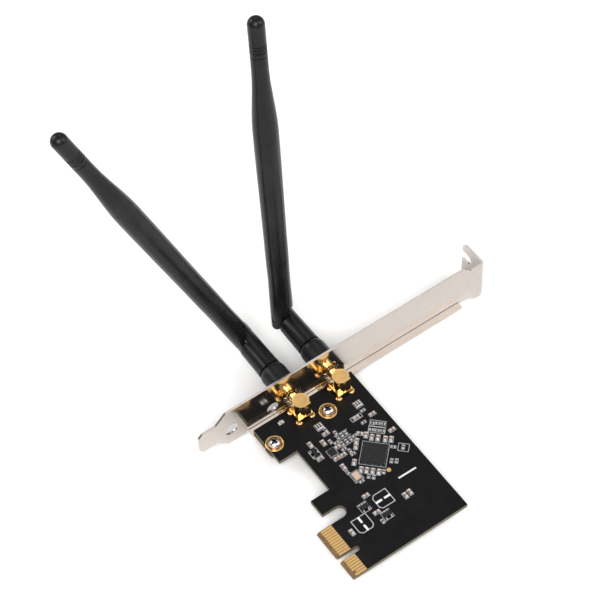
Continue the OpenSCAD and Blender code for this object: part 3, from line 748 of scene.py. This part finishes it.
def build_legend():
    """Printed outlines round the parts. No lettering."""
    bm = bmesh.new()
    z0, z1 = 0.0, 0.02
    array = on_chip((-0.6, 10.8, 0))

    def frame_line(x, y, turn, w, h, line):
        pts = [turned_point(x, y, turn, sx * w / 2, sy * h / 2)
               for sx, sy in ((-1, -1), (1, -1), (1, 1), (-1, 1))]
        add_ribbon(bm, pts, line, z0, z1, True)

    frame_line(*CHIP, 45, 9.1, 9.1, 0.15)
    for x, y, turn in [on_chip(p) for p in RING_CAPS] + list(BOARD_CAPS):
        frame_line(x, y, turn, 2.45, 1.35, 0.16)
    for x, y, turn in [on_chip(p) for p in RING_RES] + list(BOARD_RES):
        frame_line(x, y, turn, 1.8, 1.0, 0.13)
    for x, y, turn, w, h in ((49, 18.4, 90, 3.4, 3.6), (55.6, 22.8, 90, 3.4, 3.4),
                             (22.5, 17.3, 0, 3.4, 3.1), (25.6, 22.2, 0, 3.1, 3.1),
                             (37.9, 23.3, 0, 4.1, 3.3), (19.2, 36.9, 90, 4.2, 1.7),
                             (38.1, 42.7, 45, 3.6, 3.0),
                             (*array, 5.6, 4.9), (*array, 5.6, 0.25)):
        frame_line(x, y, turn, w, h, 0.16)
    for x, y in FILTERS:
        frame_line(x - 0.1, y, 0, 2.8, 2.8, 0.12)
    for x in (20.9, 23.3, 26.1):
        add_ribbon(bm, [(x, 26.2), (x, 31.6)], 0.16, z0, z1)
    for (x, y), turn in zip(COILS, (0, 90)):
        w, c = 2.85, 0.95
        pts = [(-w + c, -w), (w - c, -w), (w, -w + c), (w, w), (-w, w), (-w, -w + c)]
        add_ribbon(bm, [turned_point(x, y, turn, px, py) for px, py in pts], 0.27, z0, z1, True)
    add_ribbon(bm, [(46.7, 34.2), (46.8, 41.3)], 0.62, z0, z1, False, 1)
    finish_piece("printed_outlines", bm, ["ink", "ink_bright"], "card", (),
                 weighted=False)


# ---- connectors on the board -----------------------------------------------

def build_jacks():
    for n, y in enumerate(PORTS, 1):
        pre = "jack%d_" % n
        bm = cad_mesh(pre + "body")
        round_edges(bm, 0.1, 35, 2)
        for f in bm.faces:
            f.normal_update()
            high = f.calc_center_median().z > 8 * MM
            f.material_index = 1 if high and abs(f.normal.z) > 0.95 else 0
        finish_piece(pre + "block", bm, ["gold", "gold_top"], "card", (pre + "body",))
        bm = bmesh.new()
        add_lathe(bm, [(0, 8.285), (1.92, 8.285), (1.97, 8.3), (2.04, 8.3), (2.08, 8.28),
                       (2.09, 8.2), (2.09, 7.82), (0, 7.82)],
                  along((JACK_X, y, 0)), 64)
        finish_piece(pre + "lid", bm, ["gold_top"], "card", (pre + "cap",))

        # threaded barrel: bore, then rolled thread on the outside
        profile = [(1.4, 0.0), (1.9, 0.0), (1.9, 3.5), (2.9, 3.5), (3.1, 3.6), (3.17, 3.75)]
        z = 4.0
        while z < 11.3:
            profile += [(3.16, z), (3.17, z + 0.1), (2.82, z + 0.34), (2.82, z + 0.42)]
            z += 0.705
        profile += [(3.0, 11.8), (2.78, 12.2), (2.3, 12.2), (2.3, 9.8), (1.4, 9.8)]
        bm = bmesh.new()
        add_lathe(bm, profile, along((3.6, y, PORT_Z), (-1, 0, 0)), 56, closed=True)
        finish_piece(pre + "thread", bm, ["gold"], "card", (pre + "barrel",))
        bm = bmesh.new()
        add_lathe(bm, [(0.66, 0.0), (1.39, 0.0), (1.39, 11.0), (1.3, 11.1), (0.66, 11.1)],
                  along((5.1, y, PORT_Z), (-1, 0, 0)), 48, closed=True)
        finish_piece(pre + "core", bm, ["ptfe"], "card", (pre + "insulator",))
        bm = bmesh.new()
        add_lathe(bm, [(0, 0), (0.64, 0.0), (0.64, 13.2), (0.46, 13.3), (0.46, 15.0), (0.36, 15.2),
                       (0.15, 15.3), (0, 15.31)], along((JACK_X + 0.46, y, PORT_Z), (-1, 0, 0)),
                  32)
        add_lathe(bm, [(0, 0), (0.4, 0), (0.46, 0.08), (0.46, 7.1), (0, 7.1)],
                  along((JACK_X, y, -2.4)), 32)
        finish_piece(pre + "pin", bm, ["gold"], "card", (pre + "contact",))

    bm = bmesh.new()
    for y in PORTS:
        for i in (-1, 1):
            for j in (-1, 1):
                x0, y0 = JACK_X + i * 2.54, y + j * 2.54
                add_lathe(bm, [(1.18, 0.0), (1.16, 0.03), (1.05, 0.06), (0.85, 0.12),
                               (0.68, 0.24), (0.58, 0.42), (0.5, 0.55), (0.0, 0.56)],
                          along((x0, y0, 0)), 32)
                add_lathe(bm, [(0.0, -2.42), (0.42, -2.4), (0.6, -2.25), (0.8, -1.95),
                               (1.0, -1.72), (1.15, -1.63), (1.18, -1.57), (0.0, -1.56)],
                          along((x0, y0, 0)), 32, 1)
        add_lathe(bm, [(0.0, -2.3), (0.3, -2.28), (0.5, -2.1), (0.7, -1.8), (0.82, -1.62),
                       (0.84, -1.57), (0.0, -1.56)], along((JACK_X, y, 0)), 32, 1)
    finish_piece("leg_solder", bm, ["copper_gold", "solder"], "card", ("solder_joints",))


def build_bracket():
    refined("bracket", "slot_bracket", "nickel", "card", 0.14, 40)


# ---- antennas --------------------------------------------------------------

def blade_frame(n):
    """Matrix of the turned and bent blade, with -X outwards."""
    swivel = Matrix.Translation(Vector((0, PORTS[n], PORT_Z)) * MM) @ Matrix.Rotation(
        math.radians(TURN[n] - 90), 4, "X")
    return swivel @ Matrix.Translation(Vector((PIVOT_X, 0, 0)) * MM) @ Matrix.Rotation(
        math.radians(BEND[n]), 4, "Y")


def build_antennas():
    to_x = Matrix.Rotation(math.radians(-90), 4, "Y")
    for n, y in enumerate(PORTS):
        pre = "ant%d_" % (n + 1)
        on_port = Matrix.Translation(Vector((0, y, PORT_Z)) * MM) @ to_x

        bm = bmesh.new()
        outer = [(3.3, 0.42), (4.3, 0.42), (4.52, 0.47), (4.66, 0.6), (4.73, 0.8), (4.74, 1.1),
                 (4.74, 8.6), (4.72, 9.2), (4.64, 9.8), (4.5, 10.35), (4.28, 10.8), (4.05, 11.08),
                 (3.8, 11.2), (3.05, 11.2), (3.01, 11.1), (3.01, 9.62), (3.58, 9.58), (3.6, 8.8),
                 (3.26, 8.75)]
        z = 8.5
        while z > 1.0:
            outer += [(3.26, z), (3.42, z - 0.3)]
            z -= 0.705
        add_lathe(bm, outer, on_port, 96, closed=True)
        finish_piece(pre + "coupling", bm, ["nut"], pre + "nut_body", (pre + "nut",),
                     30)

        refined(pre + "swivel", pre + "knuckle", "whip", pre + "swivel_body",
                0.22, 35, 3, 30)
        refined(pre + "hinge_pin", pre + "rivet", "pin", pre + "swivel_body", 0.15)
        refined(pre + "blade", pre + "whip", "whip", pre + "blade_body",
                0.25, 35, 3, 30)

        tip = [(0, 105.5), (2.1, 105.5), (2.2, 105.6), (2.2, 108.5), (2.5, 108.5), (2.68, 108.54),
               (2.8, 108.65), (2.88, 108.85)]
        for g in (110.7, 111.9, 112.9):
            tip += [(2.89, g - 0.32), (2.86, g - 0.24), (2.68, g - 0.12), (2.66, g),
                    (2.68, g + 0.12), (2.86, g + 0.24), (2.89, g + 0.32)]
        for k in range(13):
            a = math.radians(7.5 * k)
            tip.append((2.9 * math.cos(a) if k < 12 else 0, 120.0 + 2.9 * math.sin(a)))
        bm = bmesh.new()
        add_lathe(bm, tip, blade_frame(n) @ to_x, 72)
        finish_piece(pre + "cap", bm, ["whip"], pre + "blade_body", (pre + "tip",),
                     30)

        for node, mat in (("ferrule", "gold"), ("plug_insulator", "ptfe"),
                          ("plug_contact", "gold"), ("radiator", "gold"), ("coax", "jacket")):
            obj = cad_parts[pre + node]
            obj.data.materials.clear()
            obj.data.materials.append(MAT[mat])


build_board()
build_contacts()
build_rings()
build_screws()
build_passives()
build_chips()
build_other_parts()
build_legend()
build_jacks()
build_bracket()
build_antennas()


# ---- floor, light, camera ------------------------------------------------

def build_stage():
    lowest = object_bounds()[0].z
    bm = bmesh.new()
    bmesh.ops.create_grid(bm, x_segments=2, y_segments=2, size=3.0)
    mesh = bpy.data.meshes.new("floor")
    bm.to_mesh(mesh)
    bm.free()
    floor = bpy.data.objects.new("floor", mesh)
    floor.location = (0, 0, lowest - 0.0002)
    bpy.context.scene.collection.objects.link(floor)
    n = Nodes("floor_paper")
    grain = n.noise(30.0, 2.0)
    colour = n.blend(n.ranged(grain, 0, 1), (0.9, 0.9, 0.9), (0.93, 0.93, 0.93))
    mesh.materials.append(n.put(Base_Color=colour, Roughness=0.9, Specular_IOR_Level=0.1))

    world = bpy.data.worlds.new("studio")
    world.use_nodes = True
    sky = world.node_tree.nodes["Background"]
    sky.inputs["Color"].default_value = (1.0, 0.99, 0.98, 1)
    sky.inputs["Strength"].default_value = 0.35
    bpy.context.scene.world = world

    centre = Vector((0.0, 0.035, 0.02))
    for name, place, size, power, tint in (
            ("key", (0.55, -0.45, 0.95), 0.8, 13.0, (1, 0.99, 0.97)),
            ("side", (-0.75, -0.45, 0.6), 0.6, 4.0, (1, 1, 1)),
            ("rim", (0.45, 0.8, 0.6), 0.6, 4.0, (1, 1, 1)),
            ("top", (-0.46, 0.35, 0.83), 0.5, 0.7, (1, 0.98, 0.96)),
            ("back", (0.5, 0.34, 0.84), 0.5, 1.7, (1, 0.98, 0.96))):
        light = bpy.data.lights.new(name, "AREA")
        light.energy = power
        light.size = size
        light.color = tint
        obj = bpy.data.objects.new(name, light)
        obj.location = place
        obj.rotation_mode = "QUATERNION"
        obj.rotation_quaternion = (centre - Vector(place)).to_track_quat("-Z", "Y")
        bpy.context.scene.collection.objects.link(obj)

    cam = bpy.data.cameras.new("camera")
    cam.sensor_width = 36
    cam.lens = 126.356
    cam.clip_start, cam.clip_end = 0.05, 10
    view = bpy.data.objects.new("camera", cam)
    # columns: the camera's right, up and back
    axes = Matrix(((0.577092, -0.654127, 0.488961), (0.816222, 0.481994, -0.318532),
                   (-0.027316, 0.582923, 0.812068)))
    view.rotation_mode = "QUATERNION"
    view.rotation_quaternion = axes.to_quaternion()
    view.location = (0.330941, -0.186710, 0.603044)
    bpy.context.scene.collection.objects.link(view)
    bpy.context.scene.camera = view
    bpy.context.scene.view_settings.view_transform = "Standard"


build_stage()
